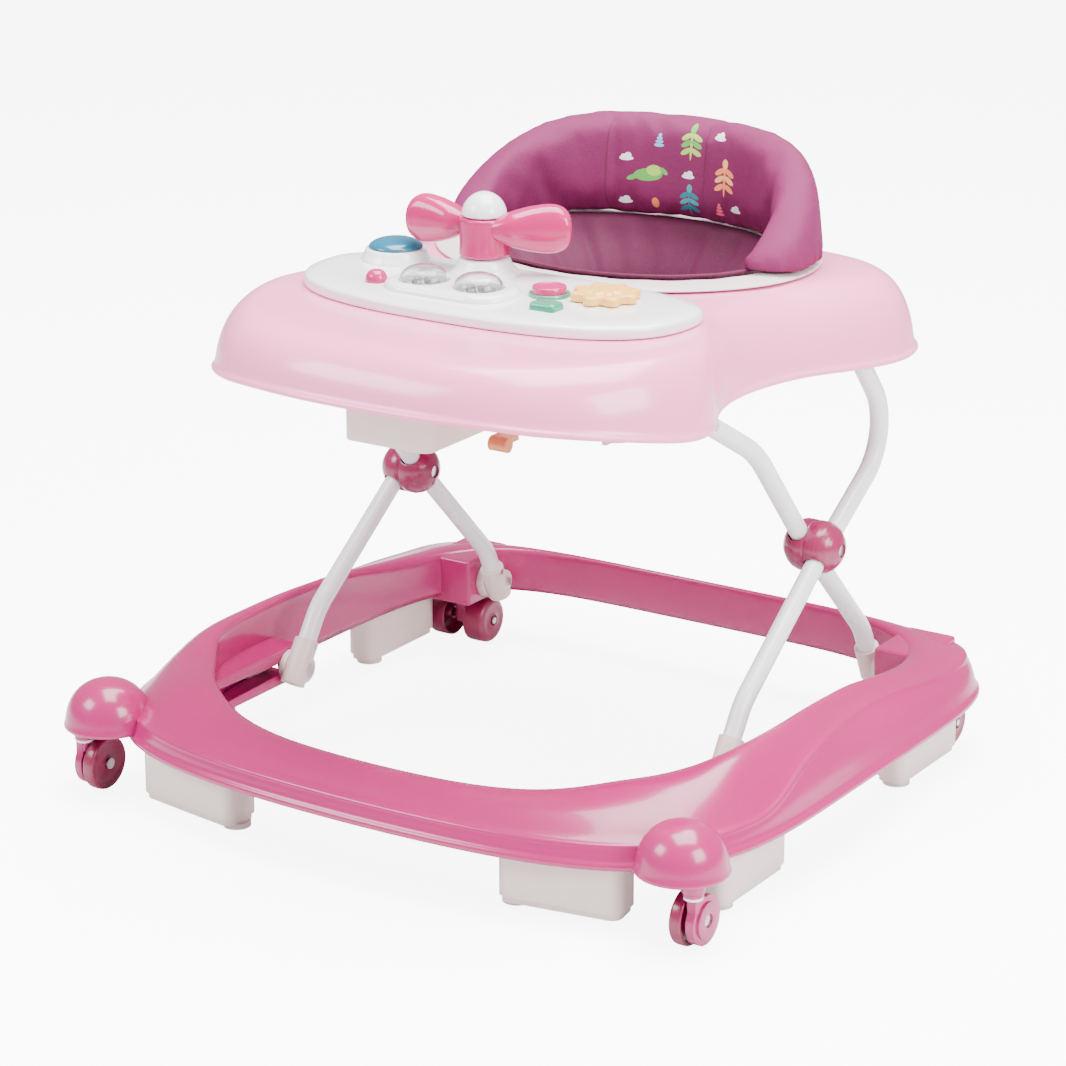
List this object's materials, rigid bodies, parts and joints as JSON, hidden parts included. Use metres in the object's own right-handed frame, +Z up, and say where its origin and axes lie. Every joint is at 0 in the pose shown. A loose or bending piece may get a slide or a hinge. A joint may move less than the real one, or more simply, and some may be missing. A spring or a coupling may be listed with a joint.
{
  "type": "baby walker",
  "caption": "Folding baby walker: pink ring base on casters, scissor legs, play tray with toys and a padded sling seat.",
  "frame": {"origin": "on the floor, under the centre of the overall bounding box", "axes": "+Z up; front of the walker (casters and toys) faces -Y; +X is the walker's left-right axis, a symmetry axis of base, legs and tray"},
  "size_m": [0.629, 0.577, 0.5316],
  "materials": {
    "base_pink": "glossy pink moulding",
    "cream_plastic": "satin off-white",
    "foot_rubber": "soft pale rubber",
    "deep_pink": "glossy deep pink",
    "wheel_pink": "glossy deep pink",
    "zinc_steel": "zinc plated",
    "leg_tube": "smooth white powder coat",
    "tray_pink": "glossy pale pink moulding",
    "orange_plastic": "glossy orange",
    "white_plastic": "glossy white",
    "teal_plastic": "glossy teal",
    "toy_pink": "glossy pink",
    "clear_plastic": "clear",
    "bead_yellow": "glossy beads",
    "propeller_pink": "glossy translucent pink",
    "green_plastic": "glossy green",
    "toy_yellow": "glossy yellow",
    "trim_fabric": "smooth coated cloth",
    "back_fabric": "woven polyester, padded",
    "sling_fabric": "woven polyester"
  },
  "bodies": {
    "base": {"base_frame": "base_pink", "front_stopper_right": "cream_plastic", "front_stopper_left": "cream_plastic", "side_front_stopper_right": "cream_plastic", "side_front_stopper_left": "cream_plastic", "side_rear_stopper_right": "cream_plastic", "side_rear_stopper_left": "cream_plastic", "stopper_feet": "foot_rubber", "rear_axles": "zinc_steel"},
    "caster_fork_right_body": {"caster_fork_right": "deep_pink", "caster_ring_right": "cream_plastic", "caster_screw_right": "zinc_steel"},
    "caster_fork_left_body": {"caster_fork_left": "deep_pink", "caster_ring_left": "cream_plastic", "caster_screw_left": "zinc_steel"},
    "caster_wheel_right_body": {"caster_wheel_right": "wheel_pink"},
    "caster_wheel_left_body": {"caster_wheel_left": "wheel_pink"},
    "rear_wheel_inner_right_body": {"rear_wheel_inner_right": "wheel_pink"},
    "rear_wheel_outer_right_body": {"rear_wheel_outer_right": "wheel_pink"},
    "rear_wheel_inner_left_body": {"rear_wheel_inner_left": "wheel_pink"},
    "rear_wheel_outer_left_body": {"rear_wheel_outer_left": "wheel_pink"},
    "inner_legs": {"inner_leg_right": "leg_tube", "inner_leg_left": "leg_tube", "ball_inner_right": "deep_pink", "ball_inner_left": "deep_pink", "ball_bolts": "zinc_steel", "rear_socket_right": "cream_plastic", "rear_socket_left": "cream_plastic", "rear_pins": "zinc_steel", "rear_socket_screws": "zinc_steel", "slide_pins": "zinc_steel"},
    "outer_legs": {"outer_leg_right": "leg_tube", "outer_leg_left": "leg_tube", "ball_outer_right": "deep_pink", "ball_outer_left": "deep_pink", "front_socket_right": "cream_plastic", "front_socket_left": "cream_plastic", "front_pins": "zinc_steel", "front_socket_screws": "zinc_steel"},
    "tray": {"tray_shell": "tray_pink", "tray_hinges": "cream_plastic", "tray_hinge_pins": "zinc_steel", "tray_rail_right": "cream_plastic", "tray_rail_left": "cream_plastic", "music_box": "cream_plastic", "battery_door": "cream_plastic", "toy_panel": "white_plastic", "clear_domes": "clear_plastic", "rattle_balls": "bead_yellow", "seat_trim": "trim_fabric", "seat_back": "back_fabric", "seat_sling": "sling_fabric"},
    "height_lever_body": {"height_lever": "orange_plastic"},
    "spin_dome_body": {"spin_dome": "teal_plastic"},
    "pink_ball_body": {"pink_ball": "toy_pink"},
    "propeller_spinner": {"propeller": "propeller_pink", "propeller_cap": "white_plastic"},
    "round_button_body": {"round_button": "toy_pink"},
    "square_button_body": {"square_button": "green_plastic"},
    "flower_dial_body": {"flower_dial": "toy_yellow"}
  },
  "joints": [
    {"name": "fold", "type": "hinge", "parent": "base", "child": "inner_legs", "pos_m": [0, 0.2285, 0.066], "axis": [1, 0, 0], "range_deg": [0, 20]},
    {"name": "scissor_pivot", "type": "hinge", "parent": "inner_legs", "child": "outer_legs", "pos_m": [0, 0.1015, 0.208], "axis": [1, 0, 0], "range_deg": [-37.17, 0]},
    {"name": "tray_hinge", "type": "hinge", "parent": "outer_legs", "child": "tray", "pos_m": [0, 0.1515, 0.361], "axis": [1, 0, 0], "range_deg": [0, 27.17]},
    {"name": "caster_swivel_right", "type": "hinge", "parent": "base", "child": "caster_fork_right_body", "pos_m": [0.294, -0.2455, 0.06], "axis": [0, 0, 1], "continuous": true},
    {"name": "caster_roll_right", "type": "hinge", "parent": "caster_fork_right_body", "child": "caster_wheel_right_body", "pos_m": [0.285, -0.2335, 0.023], "axis": [1, 0, 0], "continuous": true},
    {"name": "rear_roll_inner_right", "type": "hinge", "parent": "base", "child": "rear_wheel_inner_right_body", "pos_m": [0.219, 0.2405, 0.0215], "axis": [1, 0, 0], "continuous": true},
    {"name": "rear_roll_outer_right", "type": "hinge", "parent": "base", "child": "rear_wheel_outer_right_body", "pos_m": [0.261, 0.2405, 0.0215], "axis": [1, 0, 0], "continuous": true},
    {"name": "caster_swivel_left", "type": "hinge", "parent": "base", "child": "caster_fork_left_body", "pos_m": [-0.294, -0.2455, 0.06], "axis": [0, 0, 1], "continuous": true},
    {"name": "caster_roll_left", "type": "hinge", "parent": "caster_fork_left_body", "child": "caster_wheel_left_body", "pos_m": [-0.285, -0.2335, 0.023], "axis": [1, 0, 0], "continuous": true},
    {"name": "rear_roll_inner_left", "type": "hinge", "parent": "base", "child": "rear_wheel_inner_left_body", "pos_m": [-0.219, 0.2405, 0.0215], "axis": [1, 0, 0], "continuous": true},
    {"name": "rear_roll_outer_left", "type": "hinge", "parent": "base", "child": "rear_wheel_outer_left_body", "pos_m": [-0.261, 0.2405, 0.0215], "axis": [1, 0, 0], "continuous": true},
    {"name": "propeller_spin", "type": "hinge", "parent": "tray", "child": "propeller_spinner", "pos_m": [-0.033, -0.0335, 0.46], "axis": [0, 0, 1], "continuous": true},
    {"name": "dome_spin", "type": "hinge", "parent": "tray", "child": "spin_dome_body", "pos_m": [-0.119, -0.0355, 0.44], "axis": [0, 0, 1], "continuous": true},
    {"name": "flower_spin", "type": "hinge", "parent": "tray", "child": "flower_dial_body", "pos_m": [0.0975, -0.0585, 0.44], "axis": [0, 0, 1], "continuous": true},
    {"name": "round_button_press", "type": "slide", "parent": "tray", "child": "round_button_body", "axis": [0, 0, 1], "range_m": [-0.003, 0], "stiffness_N_per_m": 200, "springref_m": 0.001},
    {"name": "square_button_press", "type": "slide", "parent": "tray", "child": "square_button_body", "axis": [0, 0, 1], "range_m": [-0.003, 0], "stiffness_N_per_m": 200, "springref_m": 0.001},
    {"name": "ball_button_press", "type": "slide", "parent": "tray", "child": "pink_ball_body", "axis": [0, 0, 1], "range_m": [-0.003, 0], "stiffness_N_per_m": 200, "springref_m": 0.001},
    {"name": "height_lever_turn", "type": "hinge", "parent": "tray", "child": "height_lever_body", "pos_m": [0.0575, -0.1415, 0.344], "axis": [1, 0, 0], "range_deg": [-20, 0]}
  ],
  "couplings": [
    {"joint": "scissor_pivot", "follows": "fold", "ratio": -1.858},
    {"joint": "tray_hinge", "follows": "fold", "ratio": 1.358}
  ]
}
